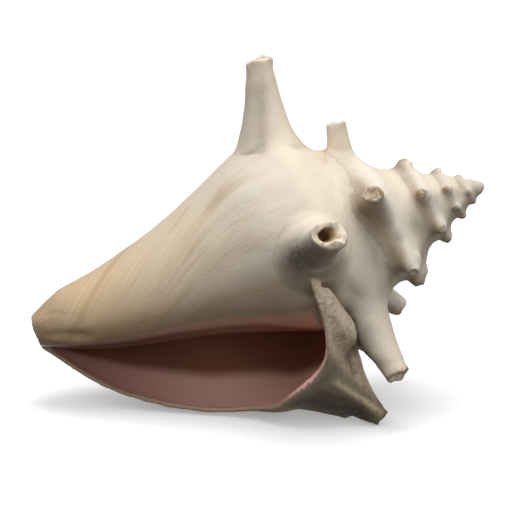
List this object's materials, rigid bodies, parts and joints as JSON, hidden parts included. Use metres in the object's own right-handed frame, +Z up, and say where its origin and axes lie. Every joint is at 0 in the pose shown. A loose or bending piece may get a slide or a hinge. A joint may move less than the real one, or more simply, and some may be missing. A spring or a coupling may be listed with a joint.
{
  "type": "conch shell",
  "caption": "Spiny conch shell with a tall knobbed spire, long worn shoulder spines, a narrowing canal end and a wide open aperture with a thin lip.",
  "frame": {"origin": "middle of the shell's footprint box, on the surface it lies on", "axes": "+Z up in the resting pose, -Y towards the side with the aperture, -X towards the canal end, +X towards the spire's tip"},
  "size_m": [0.1724, 0.1378, 0.1319],
  "materials": {
    "shell": "worn satin, cream outside with tan growth bands, pink satin glaze inside"
  },
  "bodies": {
    "root": {"shell": "shell"}
  },
  "joints": []
}
